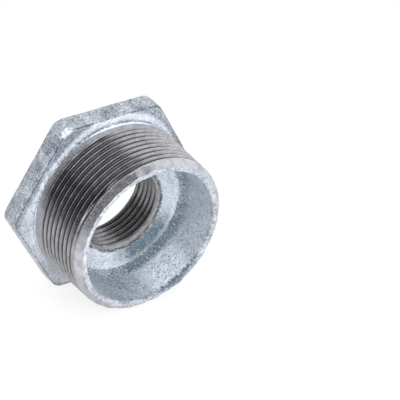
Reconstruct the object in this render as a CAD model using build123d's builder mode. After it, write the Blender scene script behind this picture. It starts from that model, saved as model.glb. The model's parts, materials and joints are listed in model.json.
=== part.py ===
from build123d import *
from math import asin, atan2, cos, degrees, floor, hypot, radians, sin, tan
import os

# Hexagon reducing bushing, 2 in pipe thread outside and 1 in pipe thread inside.
# One malleable iron casting: a hexagon, a threaded shank with a hollow end, and a tapped bore.
# All sizes are in millimetres. Stations along the axis start at the hexagon's shoulder, which is
# the face that the shank stands on, and run towards the open end of the shank.

# hexagon
across_flats = 65.0
hex_height = 8.0
hex_corner_radius = 5.0
hex_edge_radius = 0.7

# shank, turned to the major diameter of its thread at the gauge plane
male_thread_diameter = 59.614
shank_length = 27.0
shoulder_fillet = 1.0
band_end_station = 4.3  # the plain band behind the shoulder ends at the first groove
end_chamfer_length = 2.0
end_face_outer_diameter = 55.0

# Both threads are Whitworth form, 11 turns an inch, with flat crests and roots. Each turn is a
# ring here, so that a section, the pitch and every diameter are true; a turn's lead is left out.
thread_pitch = 2.309
thread_angle = 55.0
thread_depth_in_pitches = 0.6403
crest_width_in_pitches = 1 / 6

# tapped bore, drilled to the minor diameter of its thread
female_thread_minor_diameter = 30.291
female_thread_lead_in = 0.4  # plain bore from the countersink's inner edge to the first groove
face_countersink_diameter = 37.0
face_countersink_angle = 90.0
inner_countersink_diameter = 32.3
inner_countersink_angle = 90.0

# cast hollow in the end of the shank, with a sloping floor round the bore
hollow_mouth_diameter = 51.0
hollow_draft = 2.0
floor_station = 9.0
floor_slope = 10.0
floor_fillet = 3.0
mouth_edge_radius = 0.5

# derived sizes
face_station = -hex_height
root_station = face_station / 2  # the shank's profile starts inside the hexagon
root_radius = male_thread_diameter / 2 + shoulder_fillet
shank_radius = male_thread_diameter / 2
end_face_radius = end_face_outer_diameter / 2
bore_radius = female_thread_minor_diameter / 2
face_countersink_radius = face_countersink_diameter / 2
face_countersink_width = face_countersink_radius - bore_radius
face_countersink_depth = face_countersink_width / tan(radians(face_countersink_angle / 2))
bore_start_station = face_station + face_countersink_depth
inner_countersink_radius = inner_countersink_diameter / 2
inner_countersink_width = inner_countersink_radius - bore_radius
inner_countersink_depth = inner_countersink_width / tan(radians(inner_countersink_angle / 2))
bore_end_station = floor_station - inner_countersink_depth
mouth_radius = hollow_mouth_diameter / 2
floor_run = (shank_length - floor_station) * tan(radians(hollow_draft))
floor_radius = mouth_radius - floor_run
floor_rise = (floor_radius - inner_countersink_radius) * tan(radians(floor_slope))
floor_corner = (floor_radius, floor_station + floor_rise)

# grooves of the threads: half widths at the crest and at the root, and the stations of their middles;
# none cuts into the end chamfer or the inner countersink
thread_end_station = shank_length - end_chamfer_length
thread_depth = thread_depth_in_pitches * thread_pitch
crest_width = crest_width_in_pitches * thread_pitch
flank_lean = tan(radians(thread_angle / 2))
groove_half_width = (thread_pitch - crest_width) / 2
groove_root_half_width = groove_half_width - thread_depth * flank_lean
first_male_groove = band_end_station + groove_half_width
male_thread_run = thread_end_station - groove_half_width - first_male_groove
male_groove_count = floor(male_thread_run / thread_pitch) + 1
first_female_groove = bore_start_station + female_thread_lead_in + groove_half_width
female_thread_run = bore_end_station - groove_half_width - first_female_groove
female_groove_count = floor(female_thread_run / thread_pitch) + 1

# The bushing lies on the shoulder-side edge of one flat and on the end of its thread, so its axis
# falls towards the open end. The line under it touches the edge's round and meets the thread's
# last full circle.
edge_drop = across_flats / 2 - hex_edge_radius
contact_run = thread_end_station + hex_edge_radius
contact_fall = edge_drop - shank_radius
rest_tilt = atan2(contact_fall, contact_run) + asin(hex_edge_radius / hypot(contact_run, contact_fall))

# planes: the axis runs forward along -Y and down by the rest tilt, and two flats face up and down
along_axis = Vector(0, -cos(rest_tilt), -sin(rest_tilt))
up_from_axis = Vector(0, -sin(rest_tilt), cos(rest_tilt))
shoulder_plane = Plane(origin=(0, 0, 0), x_dir=(1, 0, 0), z_dir=along_axis)
section_plane = Plane(origin=(0, 0, 0), x_dir=up_from_axis, z_dir=(1, 0, 0))
bushing_axis = Axis((0, 0, 0), along_axis)
mouth_edge_point = along_axis * shank_length + Vector(mouth_radius, 0, 0)


def groove_corners(crest_radius, depth, station):
    """Corners of one groove's section. The depth is negative where it goes in from outside."""
    # The section stands out of the crests as far as its flanks can run before two grooves meet.
    rise = crest_width / 4 / flank_lean
    outer_half_width = groove_half_width + rise * flank_lean
    outer_radius = crest_radius - rise if depth > 0 else crest_radius + rise
    return (
        (crest_radius + depth, station - groove_root_half_width),
        (outer_radius, station - outer_half_width),
        (outer_radius, station + outer_half_width),
        (crest_radius + depth, station + groove_root_half_width),
    )


with BuildPart() as bushing:
    # hexagon, with its cast corners and edges rounded
    with BuildSketch(shoulder_plane.offset(face_station)):
        RegularPolygon(radius=across_flats / 2, side_count=6, major_radius=False)
    extrude(amount=hex_height)
    fillet(bushing.edges().filter_by(bushing_axis), radius=hex_corner_radius)
    fillet(bushing.edges().filter_by(shoulder_plane), radius=hex_edge_radius)

    # shank, with a fillet at the shoulder and a chamfer at the open end
    with BuildSketch(section_plane):
        with BuildLine():
            Polyline(
                (shank_radius, shoulder_fillet),
                (shank_radius, thread_end_station),
                (end_face_radius, shank_length),
                (0, shank_length),
                (0, root_station),
                (root_radius, root_station),
                (root_radius, 0),
            )
            RadiusArc((root_radius, 0), (shank_radius, shoulder_fillet), shoulder_fillet)
        make_face()
    revolve(axis=bushing_axis)

    # hollow end, its sloping floor and the bore with a countersink at each end
    with BuildSketch(section_plane):
        with BuildLine():
            Polyline(
                (0, face_station),
                (face_countersink_radius, face_station),
                (bore_radius, bore_start_station),
                (bore_radius, bore_end_station),
                (inner_countersink_radius, floor_station),
                floor_corner,
                (mouth_radius, shank_length),
                (0, shank_length),
                close=True,
            )
        make_face()
        fillet(vertices().sort_by_distance(floor_corner)[0], radius=floor_fillet)
    revolve(axis=bushing_axis, mode=Mode.SUBTRACT)

    # rounded inner edge of the cast end face
    fillet(edges().sort_by_distance(mouth_edge_point)[0], radius=mouth_edge_radius)

    # the outside thread, then the bore's
    with BuildSketch(section_plane):
        for turn in range(male_groove_count):
            station = first_male_groove + turn * thread_pitch
            Polygon(*groove_corners(shank_radius, -thread_depth, station), align=None)
        for turn in range(female_groove_count):
            station = first_female_groove + turn * thread_pitch
            Polygon(*groove_corners(bore_radius, thread_depth, station), align=None)
    revolve(axis=bushing_axis, mode=Mode.SUBTRACT)

bushing.part.label = "hex_bushing"
print("rest tilt", round(degrees(rest_tilt), 3), "degrees")

os.makedirs("parts", exist_ok=True)
export_step(bushing.part, "parts/hex_bushing.step")
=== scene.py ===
# Hexagon reducing bushing, 2 in by 1 in, lying on a pale floor under soft studio light.
# Sizes in the dictionaries are millimetres and stations run along the axis from the hexagon's
# shoulder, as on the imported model. The mesh is put in metres.
import json
import math

import bmesh
import bpy
import numpy as np
from mathutils import Euler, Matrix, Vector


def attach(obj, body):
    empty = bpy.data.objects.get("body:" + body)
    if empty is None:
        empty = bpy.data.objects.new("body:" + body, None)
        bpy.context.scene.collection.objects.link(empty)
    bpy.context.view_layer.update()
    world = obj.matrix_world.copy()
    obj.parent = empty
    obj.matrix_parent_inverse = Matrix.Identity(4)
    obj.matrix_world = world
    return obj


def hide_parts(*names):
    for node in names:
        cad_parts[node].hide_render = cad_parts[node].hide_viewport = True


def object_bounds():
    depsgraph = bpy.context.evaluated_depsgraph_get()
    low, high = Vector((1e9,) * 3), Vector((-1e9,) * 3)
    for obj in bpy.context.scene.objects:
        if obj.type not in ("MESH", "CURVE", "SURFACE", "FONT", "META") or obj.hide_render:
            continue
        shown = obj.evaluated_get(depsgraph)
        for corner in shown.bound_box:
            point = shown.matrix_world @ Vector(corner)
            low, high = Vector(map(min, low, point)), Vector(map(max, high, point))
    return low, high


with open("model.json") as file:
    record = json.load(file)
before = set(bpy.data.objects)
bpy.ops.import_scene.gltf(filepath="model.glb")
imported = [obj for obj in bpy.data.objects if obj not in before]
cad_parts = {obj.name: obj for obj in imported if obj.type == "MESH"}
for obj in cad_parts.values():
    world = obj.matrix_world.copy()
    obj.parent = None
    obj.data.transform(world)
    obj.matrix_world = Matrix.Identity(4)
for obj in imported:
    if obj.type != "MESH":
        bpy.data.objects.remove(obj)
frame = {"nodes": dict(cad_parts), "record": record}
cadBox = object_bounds()
print("frame loaded:", ", ".join(frame["nodes"]))

# the bushing's own axes: along the axis, read from its mounts; across the corners; and up from a flat
mounts = {mount["name"]: mount for mount in frame["record"]["mounts"]}
alongAxis = np.array(mounts["male_thread"]["axis"])
acrossAxis = np.array([1.0, 0.0, 0.0])
upAxis = np.cross(alongAxis, acrossAxis)
restTilt = math.asin(-alongAxis[2])
maleRadius = mounts["male_thread"]["dims"]["r_mm"]
boreRadius = mounts["female_thread"]["dims"]["r_mm"]

columns = 352
angle = np.linspace(0, 2 * np.pi, columns + 1)


# shapes; angles in the dictionaries are degrees round the axis, from a corner towards the top

def toFrame(radius, station):
    # radius outwards at each column's angle plus station along the axis, in metres
    outward = np.cos(angle)[:, None] * acrossAxis + np.sin(angle)[:, None] * upAxis
    return 0.001 * (radius[..., None] * outward + station[..., None] * alongAxis)


def ringNoise(seed, lowest, highest):
    # sum of cosines with whole numbers of waves round the ring, scaled to about -1..1
    rng = np.random.default_rng(seed)
    waves = np.arange(lowest, highest + 1)
    phases = rng.uniform(0, 2 * np.pi, len(waves))
    weights = rng.uniform(0.4, 1.0, len(waves))
    total = (weights * np.cos(angle[:, None] * waves + phases)).sum(1)
    return total / np.sqrt((weights ** 2).sum())


def lumps(places, size, seed, waves=20):
    # sum of plane waves in random directions, each about size long, scaled to about -1..1
    rng = np.random.default_rng(seed)
    directions = rng.normal(size=(waves, 3))
    directions /= np.linalg.norm(directions, axis=1, keepdims=True)
    lengths = 0.001 * size * rng.uniform(0.6, 1.6, waves)
    phases = rng.uniform(0, 2 * np.pi, waves)
    turns = 2 * np.pi * places @ (directions / lengths[:, None]).T + phases
    return np.cos(turns).sum(-1) / math.sqrt(waves)


def smoothStep(low, high, value):
    # 0 up to low, 1 from high on, and 3t^2 - 2t^3 between them
    t = np.clip((value - low) / (high - low), 0, 1)
    return t * t * (3 - 2 * t)


def hump(centre, reach):
    # 1 round an angle in degrees, falling smoothly to 0 at reach degrees to either side
    away = np.abs(np.mod(np.degrees(angle) - centre + 180, 360) - 180)
    return 1 - smoothStep(0.3 * reach, reach, away)


def around(base, *humps):
    # a value that changes round the ring: a base, plus humps given as centre, reach and amount
    return base + sum(amount * hump(centre, reach) for centre, reach, amount in humps)


def hexOutline(flat, corner, inset):
    # distance from the axis to a rounded hexagon set in by inset: flat / cos(a) along a flat, and
    # along a corner the far crossing with a circle that touches both of its flats
    apothem = flat / 2 - inset
    rounding = corner - inset
    fromFlat = np.abs(np.mod(angle, np.pi / 3) - np.pi / 6)
    fromCorner = np.pi / 6 - fromFlat
    centre = (apothem - rounding) / math.cos(math.pi / 6)
    touch = np.arctan((apothem - rounding) * math.tan(math.pi / 6) / apothem)
    arc = np.sqrt(np.maximum(rounding ** 2 - (centre * np.sin(fromCorner)) ** 2, 0))
    return np.where(fromFlat < touch, apothem / np.cos(fromFlat), centre * np.cos(fromCorner) + arc)


def roundedRun(corners, radii, gap, arcGap):
    # straight runs joined by tangent arcs, with points about gap apart, or arcGap on the arcs
    corners = [np.array(corner, float) for corner in corners]
    path = [corners[0]]
    for before, corner, after, radius in zip(corners, corners[1:], corners[2:], radii):
        back = (before - corner) / np.linalg.norm(before - corner)
        ahead = (after - corner) / np.linalg.norm(after - corner)
        half = math.acos(np.clip(back @ ahead, -1, 1)) / 2
        sweep = math.pi - 2 * half
        centre = corner + (back + ahead) / np.linalg.norm(back + ahead) * radius / math.sin(half)
        start = corner + back * radius / math.tan(half)
        finish = corner + ahead * radius / math.tan(half)
        turn = np.linspace(0, sweep, max(4, round(radius * sweep / arcGap)))[:, None]
        arc = centre + np.cos(turn) * (start - centre) - radius * np.sin(turn) * back
        path += [*straight(path[-1], start, gap), *arc[:-1], finish]
    path += [*straight(path[-1], corners[-1], gap), corners[-1]]
    return np.array(path)


def straight(start, finish, gap):
    steps = max(1, round(np.linalg.norm(finish - start) / gap))
    return [start + (finish - start) * step / steps for step in range(1, steps)]


def threadDepth(offset, thread):
    # depth below the crest at an offset from it, in millimetres: a round crest, a straight flank
    # and a round root
    pitch = thread["pitch"]
    rounding = thread["rounding"]
    lean = math.radians(thread["flankAngle"])
    offset = np.abs(offset)
    touch = rounding * math.cos(lean)
    crest = rounding - np.sqrt(np.maximum(rounding ** 2 - offset ** 2, 0))
    root = thread["depth"] - rounding
    root = root + np.sqrt(np.maximum(rounding ** 2 - (pitch / 2 - offset) ** 2, 0))
    flank = rounding * (1 - math.sin(lean)) + (offset - touch) / math.tan(lean)
    return np.where(offset < touch, crest, np.where(offset > pitch / 2 - touch, root, flank))


def threadRows(thread, first, last):
    # stations of rows that follow the helix, each moved to first or last where it would pass them,
    # and each place's offset from the nearest crest
    pitch = thread["pitch"]
    turned = (angle - math.radians(thread["crestAngle"])) / (2 * np.pi)
    crest = thread["crestStation"] + pitch * turned
    low = min(first, last)
    high = max(first, last)
    firstTurn = math.floor((low - crest[-1]) / pitch) - 1
    lastTurn = math.ceil((high - crest[0]) / pitch)
    turns = np.arange(firstTurn, lastTurn + 1)
    steps = (turns[:, None] + np.array(thread["steps"])).ravel()
    station = np.clip(crest + pitch * steps[:, None], low, high)
    if first > last:
        station = station[::-1]
    offset = pitch * (np.mod((station - crest) / pitch + 0.5, 1) - 0.5)
    return station, offset


def section(radius, station, relief=0.0, **marks):
    # a run of rows, whose relief fades out at its first and last row, and the marks they carry
    relief = np.full(radius.shape, relief)
    relief[0] = relief[-1] = 0
    return {"radius": radius, "station": station, "relief": relief, **marks}


hexagon = {
    "acrossFlats": 65.0,
    "height": 8.0,
    "cornerRadius": 5.0,
    "sharperCorner": (0, (180, 40, 1.2)),
    "edgeRadius": 0.9,
    "neckFillet": 1.0,
    "relief": 0.07,
    "trimLine": 0.12,
    "chippedCorner": 120,
    "chipWithin": 0.9,
    "chipReach": 35.7,
    "chipSlope": 0.4,
    "chipFade": (0.02, 0.2),
    "chipTone": 0.55,
    "faceRows": 13,
    "edgeRows": 4,
    "flatRows": 7,
    "ledgeRows": 10,
}


def hexagonRows():
    # from the countersink over the flat face, round the outer edge, along the flats, round the
    # shoulder's edge and across the ledge into the neck
    flat = hexagon["acrossFlats"]
    edge = hexagon["edgeRadius"]
    face = -hexagon["height"]
    inner = bore["faceCountersink"] / 2
    corner = hexagon["cornerRadius"] - around(*hexagon["sharperCorner"])
    reach = hexOutline(flat, corner, edge)
    fillet = hexagon["neckFillet"]
    neck = shank["bandRadius"] + fillet
    quarter = np.linspace(0, np.pi / 2, hexagon["edgeRows"] + 1)[1:]
    rows = []
    for share in np.linspace(0, 1, hexagon["faceRows"]):
        rows.append((inner + (reach - inner) * share, face, 0))
    for turn in quarter:
        outline = hexOutline(flat, corner, edge * (1 - math.sin(turn)))
        rows.append((outline, face + edge * (1 - math.cos(turn)), 0))
    outline = hexOutline(flat, corner, 0)
    for station in np.linspace(face + edge, -edge, hexagon["flatRows"] + 1)[1:]:
        rows.append((outline, station, 0))
    # the trim line is a shallow groove in the second row of the shoulder's round edge
    for turn, line in zip(quarter, (0, 1, 0, 0)):
        inset = edge * (1 - math.cos(turn)) + hexagon["trimLine"] * line
        rows.append((hexOutline(flat, corner, inset), edge * (math.sin(turn) - 1), line))
    for share in np.linspace(0, 1, hexagon["ledgeRows"] + 1)[1:]:
        rows.append((reach + (neck - reach) * share, 0, 0))
    for turn in quarter:
        station = shank["bandStart"] * (1 - math.cos(turn))
        rows.append((neck - fillet * math.sin(turn), station, 0))
    radius, station, line = (np.array([row[part] + 0 * angle for row in rows]) for part in range(3))
    # the chip is a flat that cuts one corner of the shoulder's edge
    facing = np.cos(angle - math.radians(hexagon["chippedCorner"]))
    chip = hexagon["chipReach"] - hexagon["chipSlope"] * station
    chip = np.where(facing > hexagon["chipWithin"], chip / facing, np.inf)
    chipped = smoothStep(*hexagon["chipFade"], radius - chip)
    radius = np.minimum(radius, chip)
    tone = ledgeToneAndPaintedLight(radius, station) + hexagon["chipTone"] * chipped
    return section(radius, station, hexagon["relief"], zincTone=tone, darkLine=line * (1 - chipped))


ledge = {
    "startStation": -0.5,
    "ringInner": (30.2, (90, 40, 0.5)),
    "ringOuter": (31.1, (85, 50, 1.9), (211, 56, 5.5), (285, 40, 1.2), (345, 35, 2)),
    "ringInnerFade": 0.4,
    "ringOuterFade": (1, 0.8),
    # the ring's strength and width round the neck are partly a painted highlight
    "ringStrength": (1, (38, 30, -0.35), (140, 45, -0.25), (207, 60, -0.5)),
    "ringToneAndHighlight": 0.36,
    "plainTone": (-0.24, (140, 40, -0.07), (42, 40, -0.05)),
    # painted shade darkens the top flat and the upper left flat
    "flatToneAndShade": (-0.16, (75, 45, -0.08), (150, 40, -0.07)),
}


def ledgeToneAndPaintedLight(radius, station):
    # the bright ring in the neck, partly pale zinc that has run into it and partly a painted
    # highlight, wider above and at the lower left, on the duller ledge, and the tone of the hexagon's
    # face and flats, with painted shade on the top flat and the upper left one
    inner = around(*ledge["ringInner"])
    outer = around(*ledge["ringOuter"])
    fade = ledge["ringInnerFade"]
    before, beyond = ledge["ringOuterFade"]
    ring = smoothStep(inner - fade, inner + fade, radius)
    ring = ring * (1 - smoothStep(outer - before, outer + beyond, radius))
    ring = ring * around(*ledge["ringStrength"])
    tone = ledge["ringToneAndHighlight"] * ring + around(*ledge["plainTone"]) * (1 - ring)
    return np.where(station > ledge["startStation"], tone, around(*ledge["flatToneAndShade"]))


shank = {
    "bandRadius": 30.05,
    "bandStart": 0.9,
    "bandEnd": 3.9,
    "bandRunOut": 0.8,
    "bandMatt": 0.38,
    "bandRows": 9,
    "filmEdge": (1.2, (75, 45, 0.9), (200, 40, 0.35)),
    "filmFade": 0.5,
    "length": 27.0,
    "endRadius": 27.3,
    "endRoughness": 0.16,
    "endWaves": (3, 3, 40),
    "chamferSlope": 1.05,
    "chamferFade": (-1.1, 0.1),
    "chamferMatt": (1, (128, 58, -0.65), (228, 45, -0.5)),
    "gaugeStation": 11.1,
    "taper": 1 / 32,
    "pitch": 2.309,
    "depth": 1.479,
    "rounding": 0.317,
    "flankAngle": 27.5,
    "crestStation": 6.44,
    "crestAngle": 127,
    "runOutStart": (24.3, (195, 100, -3.8)),
    "runOutEnd": 25.4,
    # dirt and painted shade in the grooves, strongest at the lower left
    "grooveDirtAndShade": (1, (215, 55, 0.9), (58, 45, 0.3)),
    "steps": (0, 0.06, 0.12, 0.25, 0.38, 0.44, 0.5, 0.56, 0.62, 0.75, 0.88, 0.94),
}


def endEdge():
    # the ragged edge between the end chamfer and the end face
    return shank["endRadius"] + shank["endRoughness"] * ringNoise(*shank["endWaves"])


def shankRows():
    # the turned band, then the tapered thread, cut off by the band's edge at one end and by the end
    # chamfer at the other
    station, offset = threadRows(shank, shank["bandEnd"], shank["length"])
    crest = maleRadius + (shank["gaugeStation"] - station) * shank["taper"]
    cone = endEdge() + (shank["length"] - station) * shank["chamferSlope"]
    # the last turns get shallower, most of all at the lower left
    runOut = smoothStep(around(*shank["runOutStart"]), shank["runOutEnd"], station)
    radius = crest - threadDepth(offset, shank) * (1 - runOut)
    bandEdge = shank["bandRadius"] - (station - shank["bandEnd"]) / shank["bandRunOut"]
    radius = np.minimum(np.maximum(radius, bandEdge), cone)
    bandStation = np.linspace(shank["bandStart"], shank["bandEnd"], shank["bandRows"])
    bandStation = bandStation[:, None] + 0 * angle
    bandRadius = np.full(bandStation.shape, shank["bandRadius"])
    # the grooves are dark with oily dirt and painted shade, reaching further up at the lower left and
    # the upper right
    groove = np.clip((np.minimum(crest, cone) - radius) / shank["depth"], 0, 1)
    groove = np.concatenate([0 * bandStation, groove * around(*shank["grooveDirtAndShade"])])
    # the chamfer is matt, but for worn stretches at its upper and lower left
    matt = smoothStep(*shank["chamferFade"], radius - cone) * around(*shank["chamferMatt"])
    matt = np.concatenate([0 * bandStation + shank["bandMatt"], matt])
    radius = np.concatenate([bandRadius, radius])
    station = np.concatenate([bandStation, station])
    # zinc left on the band beside the ledge, furthest down at the top
    filmEdge = around(*shank["filmEdge"])
    film = 1 - smoothStep(filmEdge - shank["filmFade"], filmEdge + shank["filmFade"], station)
    return section(radius, station, grooveDepth=groove, mattCut=matt, zincFilm=film)


hollow = {
    "mouthDiameter": 51.0,
    "mouthRounding": 0.5,
    "mouthRoughness": 0.08,
    "mouthWaves": (8, 4, 45),
    "mouthFade": (26, 26.6),
    "draft": 2.0,
    "floorStation": 9.0,
    "floorSlope": 10.0,
    "floorFillet": 3.0,
    "lipWidth": 1.5,
    "endFaceDepth": 0.1,
    "relief": 0.1,
    "rowGap": 0.9,
    "arcGap": 0.5,
    "rimTone": (-0.09, (150, 60, 0.12)),
    "rimShade": (0, (302, 30, -0.35)),
    "rimShadeFade": (27.2, 26.2),
    "floorTop": 13,
    "floorFade": (22.5, 22.9),
    # painted light and shade on the floor: brighter at the lower left and upper right, darker at the
    # lower right and top
    "floorPaintedLight": (0, (240, 55, 0.25), (18, 65, 0.22), (305, 50, -0.45), (75, 30, -0.12)),
    "floorEdgeHighlight": 0.35,
    "floorEdgeFade": (21.2, 22),
    "filletFade": (11.5, 14.5),
    # painted shade in the fillet, and a painted highlight down the wall at the lower right
    "filletShade": (-0.2, (310, 60, -0.25)),
    "wallPaintedLight": (-0.02, (300, 26, 0.5), (252, 30, -0.15)),
}


def hollowRows():
    # the cast end face and the mouth's round edge; the drafted wall, the fillet and the sloping floor
    end = shank["length"]
    mouth = hollow["mouthDiameter"] / 2
    foot = mouth - (end - hollow["floorStation"]) * math.tan(math.radians(hollow["draft"]))
    lip = bore["innerCountersink"] / 2
    floorRise = (foot - lip) * math.tan(math.radians(hollow["floorSlope"]))
    corners = [
        (shank["endRadius"], end),
        (mouth, end),
        (foot, hollow["floorStation"] + floorRise),
        (lip, hollow["floorStation"]),
    ]
    rounding = [hollow["mouthRounding"], hollow["floorFillet"]]
    path = roundedRun(corners, rounding, hollow["rowGap"], hollow["arcGap"])
    station = path[:, 1:] + 0 * angle
    # the mouth's edge, the end face's outer edge and the bore's lip are a little ragged
    ragged = hollow["mouthRoughness"] * ringNoise(*hollow["mouthWaves"])
    radius = path[:, :1] + ragged * smoothStep(*hollow["mouthFade"], path[:, 1:])
    onEndFace = path[:, 1:] > end - hollow["endFaceDepth"]
    outer = smoothStep(mouth, shank["endRadius"], path[:, :1]) * onEndFace
    radius = radius + (endEdge() - shank["endRadius"]) * outer
    radius = radius + lipShift() * (1 - smoothStep(lip, lip + hollow["lipWidth"], path[:, :1]))
    rimEnd = int(np.argmax(path[:, 1] < end - hollow["mouthRounding"]))
    rimRadius = radius[: rimEnd + 1]
    shade = around(*hollow["rimShade"]) * smoothStep(*hollow["rimShadeFade"], rimRadius)
    rimTone = around(*hollow["rimTone"]) + shade
    rim = section(rimRadius, station[: rimEnd + 1], hollow["relief"], zincTone=rimTone)
    tone = hollowToneAndPaintedLight(radius[rimEnd:], station[rimEnd:])
    return rim, section(radius[rimEnd:], station[rimEnd:], hollow["relief"], zincTone=tone)


def hollowToneAndPaintedLight(radius, station):
    # bright zinc on the floor, with painted light at its lower left and upper right, a painted
    # highlight along its white edge and painted shade at its lower right and top; a fillet darkened by
    # painted shade; and a painted highlight down the wall
    onWall = station > hollow["floorTop"]
    floorShare = 1 - smoothStep(*hollow["floorFade"], np.where(onWall, np.inf, radius))
    floorEdge = hollow["floorEdgeHighlight"] * smoothStep(*hollow["floorEdgeFade"], radius)
    floorPaintedLight = around(*hollow["floorPaintedLight"]) + floorEdge
    fillet = 1 - smoothStep(*hollow["filletFade"], station)
    wallPaintedLight = around(*hollow["wallPaintedLight"]) * (1 - fillet) + around(*hollow["filletShade"]) * fillet
    return floorShare * floorPaintedLight + (1 - floorShare) * wallPaintedLight


bore = {
    "faceCountersink": 37.0,
    "innerCountersink": 32.3,
    "burr": 0.2,
    "burrWaves": (5, 14, 110),
    "burrWidth": 0.5,
    "coneFade": (-0.15, 0.05),
    "pitch": 2.309,
    "depth": 1.479,
    "rounding": 0.317,
    "flankAngle": 27.5,
    "crestStation": 7.1,
    "crestAngle": 0,
    "runOut": (6.9, 7.4),
    "steps": (0, 0.06, 0.13, 0.37, 0.44, 0.5, 0.56, 0.63, 0.87, 0.94),
}


def lipShift():
    # how far the burr at the inner countersink's edge stands in or out
    return bore["burr"] * ringNoise(*bore["burrWaves"])


def boreRows():
    # the parallel inside thread, opened by a 45 degree countersink at each end
    station, offset = threadRows(bore, hollow["floorStation"], -hexagon["height"])
    innerCone = bore["innerCountersink"] / 2 + lipShift() - (hollow["floorStation"] - station)
    faceCone = bore["faceCountersink"] / 2 - (station + hexagon["height"])
    cone = np.maximum(innerCone, faceCone)
    runOut = smoothStep(*bore["runOut"], station)
    radius = np.maximum(boreRadius + threadDepth(offset, bore) * (1 - runOut), cone)
    groove = np.clip((radius - np.maximum(boreRadius, cone)) / bore["depth"], 0, 1)
    matt = np.maximum(smoothStep(*bore["coneFade"], cone - radius), runOut)
    line = np.maximum(0, 1 - (hollow["floorStation"] - station) / bore["burrWidth"])
    return section(radius, station, grooveDepth=groove, mattCut=matt, darkLine=line)


# the whole skin: share, size and seed of the casting's lumps; the distance in metres within which
# places are joined; the angle from which an edge is sharp; and the marks that the finishes read
skin = {
    "lumps": ((0.6, 9, 11), (0.4, 3.5, 12)),
    "joinWithin": 2e-6,
    "sharpFrom": 38,
    "marks": ("zincTone", "darkLine", "grooveDepth", "mattCut", "zincFilm"),
}


def castRelief(radius, station, relief):
    # moves each place along its profile's normal by lumps of two sizes
    normal = np.stack([np.gradient(station, axis=0), -np.gradient(radius, axis=0)])
    normal /= np.maximum(np.linalg.norm(normal, axis=0), 1e-9)
    places = toFrame(radius, station)
    height = relief * sum(share * lumps(places, size, seed) for share, size, seed in skin["lumps"])
    return radius + normal[0] * height, station + normal[1] * height


def buildBushing(sections):
    # one closed skin: the sections' rows run round the wall's profile and its columns round the axis
    radius, station, slot = [], [], []
    for number, rows in enumerate(sections):
        moved = castRelief(rows["radius"], rows["station"], rows["relief"])
        radius.append(moved[0])
        station.append(moved[1])
        slot += [number] * len(moved[0])
    points = toFrame(np.concatenate(radius), np.concatenate(station))
    rowCount = len(points)
    ids = np.arange(rowCount * (columns + 1)).reshape(rowCount, columns + 1)
    above = np.roll(ids, -1, axis=0)
    quads = np.stack([ids[:, :-1], ids[:, 1:], above[:, 1:], above[:, :-1]], -1).reshape(-1, 4)
    mesh = bpy.data.meshes.new("hexBushingSkin")
    mesh.vertices.add(points.size // 3)
    mesh.vertices.foreach_set("co", points.ravel())
    mesh.loops.add(quads.size)
    mesh.loops.foreach_set("vertex_index", quads.ravel())
    mesh.polygons.add(len(quads))
    mesh.polygons.foreach_set("loop_start", np.arange(len(quads)) * 4)
    mesh.polygons.foreach_set("material_index", np.repeat(slot, columns))
    for name in skin["marks"]:
        values = [rows.get(name, np.zeros(rows["radius"].shape)) for rows in sections]
        layer = mesh.attributes.new(name, "FLOAT", "POINT")
        layer.data.foreach_set("value", np.concatenate(values).astype(np.float32).ravel())
    mesh.update(calc_edges=True)
    merge = bmesh.new()
    merge.from_mesh(mesh)
    bmesh.ops.remove_doubles(merge, verts=merge.verts, dist=skin["joinWithin"])
    bmesh.ops.triangulate(merge, faces=[face for face in merge.faces if len(face.verts) > 3])
    merge.to_mesh(mesh)
    merge.free()
    mesh.polygons.foreach_set("use_smooth", np.ones(len(mesh.polygons), bool))
    mesh.set_sharp_from_angle(angle=math.radians(skin["sharpFrom"]))
    bushing = bpy.data.objects.new("bushing", mesh)
    bpy.context.scene.collection.objects.link(bushing)
    return bushing


# finishes

def newMaterial(name):
    material = bpy.data.materials.new(name)
    material.use_nodes = True
    tree = material.node_tree
    return material, tree, tree.nodes["Principled BSDF"]


def node(tree, kind, label="", **settings):
    made = tree.nodes.new(kind)
    made.label = label
    for key, value in settings.items():
        setattr(made, key, value)
    return made


def wire(tree, output, target):
    tree.links.new(output, target)


def feed(tree, target, value):
    # wires another node's output to a socket, or sets the socket to a number or a colour
    if hasattr(value, "links"):
        wire(tree, value, target)
    elif isinstance(value, tuple):
        target.default_value = (*value, 1)
    else:
        target.default_value = value


def newGroup(name, inputs, outputs):
    group = bpy.data.node_groups.new(name, "ShaderNodeTree")
    for label, kind in inputs:
        group.interface.new_socket(label, in_out="INPUT", socket_type=kind)
    for label, kind in outputs:
        group.interface.new_socket(label, in_out="OUTPUT", socket_type=kind)
    return group, group.nodes.new("NodeGroupInput"), group.nodes.new("NodeGroupOutput")


def noise(tree, vector, scale, detail, roughness):
    made = node(tree, "ShaderNodeTexNoise")
    made.inputs["Scale"].default_value = scale
    made.inputs["Detail"].default_value = detail
    made.inputs["Roughness"].default_value = roughness
    wire(tree, vector, made.inputs["Vector"])
    return made.outputs["Fac"]


def remap(tree, value, low, high, toLow=0.0, toHigh=1.0):
    made = node(tree, "ShaderNodeMapRange")
    wire(tree, value, made.inputs["Value"])
    made.inputs["From Min"].default_value = low
    made.inputs["From Max"].default_value = high
    made.inputs["To Min"].default_value = toLow
    made.inputs["To Max"].default_value = toHigh
    return made.outputs["Result"]


def mixColours(tree, share, first, second):
    # a colour mix keeps its colours in sockets 6 and 7 and gives them out by socket 2
    made = node(tree, "ShaderNodeMix", data_type="RGBA")
    feed(tree, made.inputs["Factor"], share)
    feed(tree, made.inputs[6], first)
    feed(tree, made.inputs[7], second)
    return made.outputs[2]


def mixValues(tree, share, first, second):
    # a number mix keeps its numbers in sockets 2 and 3 and gives them out by socket 0
    made = node(tree, "ShaderNodeMix", data_type="FLOAT")
    feed(tree, made.inputs["Factor"], share)
    feed(tree, made.inputs[2], first)
    feed(tree, made.inputs[3], second)
    return made.outputs[0]


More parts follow.
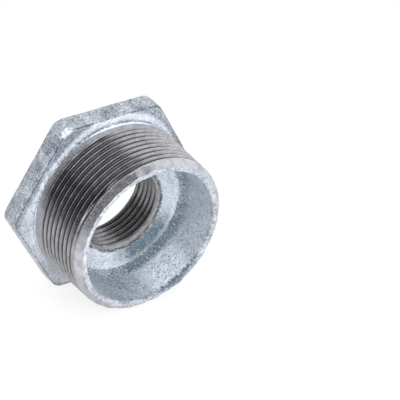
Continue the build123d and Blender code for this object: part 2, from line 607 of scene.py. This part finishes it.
def calculate(tree, operation, first, second):
    made = node(tree, "ShaderNodeMath", operation=operation)
    feed(tree, made.inputs[0], first)
    feed(tree, made.inputs[1], second)
    return made.outputs[0]


def axisCoordinates(tree):
    # object coordinates in millimetres, turned so that Z runs along the bushing's axis
    source = node(tree, "ShaderNodeTexCoord")
    turn = node(tree, "ShaderNodeMapping", "turn to the axis")
    turn.inputs["Rotation"].default_value = Euler((-(math.pi / 2 + restTilt), 0, 0))
    turn.inputs["Scale"].default_value = (1000, 1000, 1000)
    wire(tree, source.outputs["Object"], turn.inputs["Vector"])
    return turn.outputs["Vector"]


def markMask(tree, name):
    return node(tree, "ShaderNodeAttribute", attribute_name=name).outputs["Fac"]


def raggedMark(tree, name, grain, fade):
    # a mark whose edge noise makes ragged
    return remap(tree, calculate(tree, "ADD", markMask(tree, name), grain), *fade)


def addBump(tree, shader, height, strength, depth):
    bump = node(tree, "ShaderNodeBump")
    bump.inputs["Strength"].default_value = strength
    bump.inputs["Distance"].default_value = 0.001 * depth
    wire(tree, height, bump.inputs["Height"])
    wire(tree, bump.outputs["Normal"], shader.inputs["Normal"])


# each layer's noise scale, detail and roughness, then the stretch of it that is used and the tones
# that this stretch becomes
mottleLayers = {
    "clouds": (0.16, 3, 0.6, 0.3, 0.7, -1, 1),
    "patches": (0.7, 4, 0.7, 0.3, 0.7, -1, 1),
    "speckle": (1.7, 3, 0.75, 0.34, 0.66, -1, 1),
    "flecks": (1.15, 2, 0.6, 0.6, 0.68, 0, 0.5),
    "pits": (0.9, 3, 0.8, 0.36, 0.28, 0, -0.5),
    # grains: painted glints where the tone is shifted furthest towards pale
    "glintGrains": (1.5, 3, 0.7, 0.4, 0.6, -1.8, 3.4),
}
mottleShift = {"evenUpTo": 0.25, "patchHeight": 0.6}


def buildMottleGroup():
    # zinc mottling: broad clouds, patches and fine speckle, with bright flecks and dark pits
    group, given, made = newGroup(
        "zincMottle",
        [
            ("Vector", "NodeSocketVector"),
            ("Clouds", "NodeSocketFloat"),
            ("Patches", "NodeSocketFloat"),
            ("Speckle", "NodeSocketFloat"),
            ("Shift", "NodeSocketFloat"),
        ],
        [("Tone", "NodeSocketFloat"), ("Height", "NodeSocketFloat")],
    )
    vector = given.outputs["Vector"]
    layers = {}
    for name, (scale, detail, roughness, *spread) in mottleLayers.items():
        layers[name] = remap(group, noise(group, vector, scale, detail, roughness), *spread)
    tone = calculate(group, "MULTIPLY", layers["clouds"], given.outputs["Clouds"])
    for name, weight in (
        ("patches", "Patches"),
        ("speckle", "Speckle"),
        ("flecks", "Speckle"),
        ("pits", "Speckle"),
    ):
        weighted = calculate(group, "MULTIPLY", layers[name], given.outputs[weight])
        tone = calculate(group, "ADD", tone, weighted)
    # from -1..1 to a tone of 0..1
    tone = calculate(group, "ADD", calculate(group, "MULTIPLY", tone, 0.5), 0.5)
    # a shift towards pale is even up to a limit, and what is beyond it comes as grains that paint glints
    shift = given.outputs["Shift"]
    limit = mottleShift["evenUpTo"]
    beyond = calculate(group, "MAXIMUM", calculate(group, "SUBTRACT", shift, limit), 0)
    glintGrains = calculate(group, "MULTIPLY", layers["glintGrains"], beyond)
    shift = calculate(group, "ADD", calculate(group, "MINIMUM", shift, limit), glintGrains)
    wire(group, calculate(group, "ADD", tone, shift), made.inputs["Tone"])
    raised = calculate(group, "MULTIPLY", layers["patches"], mottleShift["patchHeight"])
    wire(group, calculate(group, "ADD", raised, layers["speckle"]), made.inputs["Height"])
    return group


# the rings' squeeze, then the noise scale, detail and roughness of the rings and of the stains
toolMarks = {
    "squeeze": (0.12, 0.12, 5),
    "rings": (1, 5, 0.7),
    "stains": (0.35, 5, 0.65),
}


def buildToolMarkGroup():
    # turning marks: noise squeezed along the axis, so that it runs round the thread as fine rings
    group, given, made = newGroup(
        "toolMarks",
        [("Vector", "NodeSocketVector")],
        [("Rings", "NodeSocketFloat"), ("Stains", "NodeSocketFloat")],
    )
    vector = given.outputs["Vector"]
    squeeze = node(group, "ShaderNodeMapping", "rings")
    squeeze.inputs["Scale"].default_value = toolMarks["squeeze"]
    wire(group, vector, squeeze.inputs["Vector"])
    rings = noise(group, squeeze.outputs["Vector"], *toolMarks["rings"])
    wire(group, rings, made.inputs["Rings"])
    wire(group, noise(group, vector, *toolMarks["stains"]), made.inputs["Stains"])
    return group


# every Noise is a noise scale, detail and roughness, and every Fade the stretch of a value over
# which something goes from none to all
galvanised = {
    "darkest": (0.125, 0.152, 0.192),
    "palest": (0.855, 0.905, 0.985),
    "metallic": 0.3,
    "roughness": (0.24, 0.42),
    "bump": 0.9,
    "bumpDepth": 0.16,
    "line": (0.03, 0.03, 0.035),
    "lineNoise": (0.4, 4, 0.75),
    "lineFade": (0.36, 0.53),
}


def galvanisedZinc(name, mottle, clouds, patches, speckle, tint):
    # mottled zinc, whose tone with its painted light and shade, and whose dark line, the marks on the
    # mesh shift and place
    material, tree, shader = newMaterial(name)
    vector = axisCoordinates(tree)
    mottled = node(tree, "ShaderNodeGroup", node_tree=mottle)
    wire(tree, vector, mottled.inputs["Vector"])
    mottled.inputs["Clouds"].default_value = clouds
    mottled.inputs["Patches"].default_value = patches
    mottled.inputs["Speckle"].default_value = speckle
    wire(tree, markMask(tree, "zincTone"), mottled.inputs["Shift"])
    tone = mottled.outputs["Tone"]
    dark = tuple(part * share for part, share in zip(galvanised["darkest"], tint))
    zinc = mixColours(tree, tone, dark, galvanised["palest"])
    broken = noise(tree, vector, *galvanised["lineNoise"])
    broken = remap(tree, broken, *galvanised["lineFade"])
    line = calculate(tree, "MULTIPLY", markMask(tree, "darkLine"), broken)
    colour = mixColours(tree, line, zinc, galvanised["line"])
    wire(tree, colour, shader.inputs["Base Color"])
    smoothest, roughest = galvanised["roughness"]
    wire(tree, remap(tree, tone, 0, 1, roughest, smoothest), shader.inputs["Roughness"])
    shader.inputs["Metallic"].default_value = galvanised["metallic"]
    height = mottled.outputs["Height"]
    addBump(tree, shader, height, galvanised["bump"], galvanised["bumpDepth"])
    return material


turned = {
    "paleFade": (0.35, 0.65),
    "stained": 0.72,
    "stainedFade": (0.38, 0.52),
    "mattNoise": (1.5, 4, 0.75),
    "mattFade": (0.6, 1.4),
    "mattRoughness": 0.5,
    "mattMetallic": 0.6,
    "ringFade": (0.3, 0.7),
    "bump": 0.45,
    "bumpDepth": 0.05,
    # residue colour, also painted shade in the roots of the threads
    "residueAndShade": (0.03, 0.028, 0.03),
    "residueFade": (0.42, 0.9),
    "residueShare": (0, 0.92),
    "burrFade": (0.4, 0.5),
    "filmNoise": (0.9, 4, 0.7),
    "filmFade": (0.95, 1.1),
    "film": (0.78, 0.83, 0.92),
    "filmRoughness": 0.45,
    "filmMetallic": 0.4,
}


def turnedIron(name, marks, dark, pale, cut, roughness, metallic):
    # bare iron with fine rings, dark to pale with its stains, and matt where it is chamfered
    material, tree, shader = newMaterial(name)
    vector = axisCoordinates(tree)
    rings = node(tree, "ShaderNodeGroup", node_tree=marks)
    wire(tree, vector, rings.inputs["Vector"])
    stains = rings.outputs["Stains"]
    matt = raggedMark(tree, "mattCut", noise(tree, vector, *turned["mattNoise"]), turned["mattFade"])
    stained = tuple(turned["stained"] * part for part in cut)
    cut = mixColours(tree, remap(tree, stains, *turned["stainedFade"]), stained, cut)
    iron = mixColours(tree, remap(tree, stains, *turned["paleFade"]), dark, pale)
    iron = mixColours(tree, matt, iron, cut)
    # oily residue and painted shade in the roots of the thread, and residue along the burr
    groove = markMask(tree, "grooveDepth")
    groove = remap(tree, groove, *turned["residueFade"], *turned["residueShare"])
    burr = remap(tree, stains, *turned["burrFade"])
    burr = calculate(tree, "MULTIPLY", markMask(tree, "darkLine"), burr)
    iron = mixColours(tree, calculate(tree, "MAXIMUM", groove, burr), iron, turned["residueAndShade"])
    # zinc that is left where the cut ran out, with a ragged edge
    film = raggedMark(tree, "zincFilm", noise(tree, vector, *turned["filmNoise"]), turned["filmFade"])
    wire(tree, mixColours(tree, film, iron, turned["film"]), shader.inputs["Base Color"])
    metal = mixValues(tree, matt, metallic, turned["mattMetallic"])
    metal = mixValues(tree, film, metal, turned["filmMetallic"])
    wire(tree, metal, shader.inputs["Metallic"])
    shine = remap(tree, rings.outputs["Rings"], *turned["ringFade"], *roughness)
    shine = mixValues(tree, matt, shine, turned["mattRoughness"])
    shine = mixValues(tree, film, shine, turned["filmRoughness"])
    wire(tree, shine, shader.inputs["Roughness"])
    addBump(tree, shader, rings.outputs["Rings"], turned["bump"], turned["bumpDepth"])
    return material


# each finish's own values: the share of each size of mottling and a tint of the dark zinc; the
# colours of dark, pale and freshly cut iron and its range of roughness
zincFinishes = {
    "galvanisedHexagon": {"clouds": 0.35, "patches": 0.42, "speckle": 0.6, "tint": (1, 1, 1)},
    "galvanisedRim": {"clouds": 0.35, "patches": 0.5, "speckle": 0.5, "tint": (1, 1, 1)},
    "galvanisedHollow": {
        "clouds": 0.15,
        "patches": 0.3,
        "speckle": 0.65,
        "tint": (0.88, 1.08, 1.05),
    },
}
ironFinishes = {
    "turnedThread": {
        "dark": (0.36, 0.36, 0.382),
        "pale": (0.51, 0.51, 0.54),
        "cut": (0.46, 0.465, 0.51),
        "roughness": (0.1, 0.28),
        "metallic": 1,
    },
    "tappedBore": {
        "dark": (0.26, 0.25, 0.26),
        "pale": (0.37, 0.36, 0.37),
        "cut": (0.44, 0.44, 0.455),
        "roughness": (0.12, 0.3),
        "metallic": 0.88,
    },
}


def finishBushing(bushing):
    # one finish for each section: hexagon, shank, rim, hollow and bore
    mottle = buildMottleGroup()
    marks = buildToolMarkGroup()
    zinc = {name: galvanisedZinc(name, mottle, **finish) for name, finish in zincFinishes.items()}
    iron = {name: turnedIron(name, marks, **finish) for name, finish in ironFinishes.items()}
    bushing.data.materials.append(zinc["galvanisedHexagon"])
    bushing.data.materials.append(iron["turnedThread"])
    bushing.data.materials.append(zinc["galvanisedRim"])
    bushing.data.materials.append(zinc["galvanisedHollow"])
    bushing.data.materials.append(iron["tappedBore"])


# stage

studio = {
    "fill": 1.0,
    "floorColour": (0.95, 0.95, 0.965),
    "floorRoughness": 0.9,
    "floorSpecular": 0.1,
    "floorReach": 3000,
    "floorGlow": (0.8, 1.0),
    "glowBetween": (40, 150),
}

# softboxes: direction from the bushing, distance, width, height and brightness, where 1 is as
# bright as the white background
softboxes = {
    "topSoftbox": ((0.1, -0.25, 1), 700, 560, 560, 1.6),
    "frontSoftbox": ((-0.3, -1, 0.42), 900, 800, 700, 5.8),
}

# cards that only reflections see, dark as a photographer's flags or bright: corners and brightness;
# the strips on the floor make the thread's dark reflection fade out instead of ending, and the grey
# sheet under the bushing's front is painted shadow
cards = {
    "frontFlag": (((-1040, -600, -33), (239, -600, -33), (239, -600, 800), (-1040, -600, 800)), 0.04),
    "tableFlag": (((-217, -125, -32), (50, -125, -32), (239, -600, -32), (-1040, -600, -32)), 0.05),
    "backFlag": (((226, 600, 0), (-1040, 600, 0), (-1040, 600, 900), (226, 600, 900)), 0.16),
    "leftFlag": (((-1040, 600, 0), (-1040, -600, 0), (-1040, -600, 900), (-1040, 600, 900)), 0.2),
    "ceilingFlag": (((-1040, 40, 900), (-130, 40, 900), (-130, 600, 900), (-1040, 600, 900)), 0.1),
    "backCard": (((300, 600, -30), (1100, 300, -30), (1100, 300, 400), (300, 600, 400)), 2.25),
    "leftCard": (((-1030, -520, 60), (-1030, -240, 60), (-1030, -240, 900), (-1030, -520, 900)), 1.8),
    "crestCard": (((-1040, -560, 900), (-130, -560, 900), (-130, 40, 900), (-1040, 40, 900)), 2),
    # painted shadow: a grey sheet that reflections see where the floor under the bushing's front lies in
    # its shade
    "paintedContactShadow": (((-90, -125, -31.5), (90, -125, -31.5), (90, 10, -31.5), (-90, 10, -31.5)), 0.8),
    "softFlag": (((-217, -95, -31.4), (50, -95, -31.4), (50, -68, -31.4), (-217, -68, -31.4)), 0.52),
    "edgeFlag": (((-217, -125, -31.4), (50, -125, -31.4), (50, -95, -31.4), (-217, -95, -31.4)), 0.3),
    "fadeFlag": (((-260, -165, -31.4), (60, -165, -31.4), (50, -125, -31.4), (-217, -125, -31.4)), 0.14),
    "nearFloorFlag": (((-180, -75, -32), (20, 148, -32), (-17, 182, -32), (-217, -42, -32)), 0.8),
    "midFloorFlag": (((-264, -94, -32), (29, 234, -32), (-45, 301, -32), (-339, -27, -32)), 0.5),
    "farFloorFlag": (((-525, -236, -32), (142, 509, -32), (-514, 1096, -32), (-1181, 351, -32)), 0.2),
}


def whiteRays(tree):
    # 1 for rays from the camera, in reflections and through glass, which see the white backdrop
    path = node(tree, "ShaderNodeLightPath")
    seen = calculate(tree, "MAXIMUM", path.outputs["Is Camera Ray"], path.outputs["Is Glossy Ray"])
    return calculate(tree, "MAXIMUM", seen, path.outputs["Is Transmission Ray"])


def flatPiece(name, places):
    # one face through places given in metres
    mesh = bpy.data.meshes.new(name)
    mesh.from_pydata(places, [], [tuple(range(len(places)))])
    flat = bpy.data.objects.new(name, mesh)
    bpy.context.scene.collection.objects.link(flat)
    return flat


def studioFloor(height):
    # a pale floor that keeps the bushing's shadow and turns plain white away from it
    reach = 0.001 * studio["floorReach"]
    outline = [(-reach, -reach), (reach, -reach), (reach, reach), (-reach, reach)]
    floor = flatPiece("floor", [(*corner, height) for corner in outline])
    material, tree, shader = newMaterial("paleFloor")
    shader.inputs["Base Color"].default_value = (*studio["floorColour"], 1)
    shader.inputs["Roughness"].default_value = studio["floorRoughness"]
    shader.inputs["Specular IOR Level"].default_value = studio["floorSpecular"]
    white = node(tree, "ShaderNodeEmission")
    source = node(tree, "ShaderNodeTexCoord")
    away = node(tree, "ShaderNodeVectorMath", operation="LENGTH")
    wire(tree, source.outputs["Object"], away.inputs[0])
    near, far = (0.001 * distance for distance in studio["glowBetween"])
    glow = remap(tree, away.outputs["Value"], near, far, *studio["floorGlow"])
    blend = node(tree, "ShaderNodeMixShader")
    wire(tree, calculate(tree, "MULTIPLY", glow, whiteRays(tree)), blend.inputs[0])
    wire(tree, shader.outputs["BSDF"], blend.inputs[1])
    wire(tree, white.outputs["Emission"], blend.inputs[2])
    wire(tree, blend.outputs["Shader"], tree.nodes["Material Output"].inputs["Surface"])
    floor.data.materials.append(material)


def studioWorld():
    world = bpy.data.worlds.new("studio")
    bpy.context.scene.world = world
    world.use_nodes = True
    tree = world.node_tree
    background = tree.nodes["Background"]
    strength = mixValues(tree, whiteRays(tree), studio["fill"], 1)
    wire(tree, strength, background.inputs["Strength"])
    background.inputs["Color"].default_value = (1, 1, 1, 1)


def hangSoftbox(name, direction, distance, width, height, brightness):
    away = np.array(direction) / np.linalg.norm(direction)
    lamp = bpy.data.lights.new(name, "AREA")
    lamp.shape = "RECTANGLE"
    lamp.size = 0.001 * width
    lamp.size_y = 0.001 * height
    lamp.energy = brightness * math.pi * lamp.size * lamp.size_y
    placed = bpy.data.objects.new(name, lamp)
    placed.location = 0.001 * distance * away
    placed.rotation_euler = (math.acos(away[2]), 0, math.atan2(away[0], -away[1]))
    placed.visible_glossy = False
    bpy.context.scene.collection.objects.link(placed)


def standCard(name, corners, brightness):
    card = flatPiece(name, [tuple(0.001 * value for value in corner) for corner in corners])
    material = bpy.data.materials.new(name)
    material.use_nodes = True
    tree = material.node_tree
    tree.nodes.remove(tree.nodes["Principled BSDF"])
    glow = node(tree, "ShaderNodeEmission")
    glow.inputs["Strength"].default_value = brightness
    wire(tree, glow.outputs["Emission"], tree.nodes["Material Output"].inputs["Surface"])
    card.data.materials.append(material)
    card.visible_camera = False
    card.visible_diffuse = False
    card.visible_shadow = False


# the camera that was fitted to the photo: millimetres and degrees
photo = {
    "place": (-360.94, -543.17, 366.38),
    "turn": (60.640, -1.698, -35.449),
    "lens": 195.37,
    "sensor": 36,
    "clip": (50, 20000),
}


def photoCamera():
    lens = bpy.data.cameras.new("camera")
    lens.sensor_width = photo["sensor"]
    lens.lens = photo["lens"]
    lens.clip_start, lens.clip_end = (0.001 * distance for distance in photo["clip"])
    camera = bpy.data.objects.new("camera", lens)
    camera.location = [0.001 * value for value in photo["place"]]
    camera.rotation_euler = Euler([math.radians(value) for value in photo["turn"]])
    bpy.context.scene.collection.objects.link(camera)
    bpy.context.scene.camera = camera


bpy.context.scene.view_settings.view_transform = "Standard"
photoCamera()
print("camera placed")

bushing = buildBushing([hexagonRows(), shankRows(), *hollowRows(), boreRows()])
finishBushing(bushing)
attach(bushing, "root")
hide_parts("hex_bushing")
print("bushing made:", len(bushing.data.polygons), "faces")

studioFloor(cadBox[0].z)
studioWorld()
for name, settings in softboxes.items():
    hangSoftbox(name, *settings)
for name, (corners, brightness) in cards.items():
    standCard(name, corners, brightness)
print("stage lit")
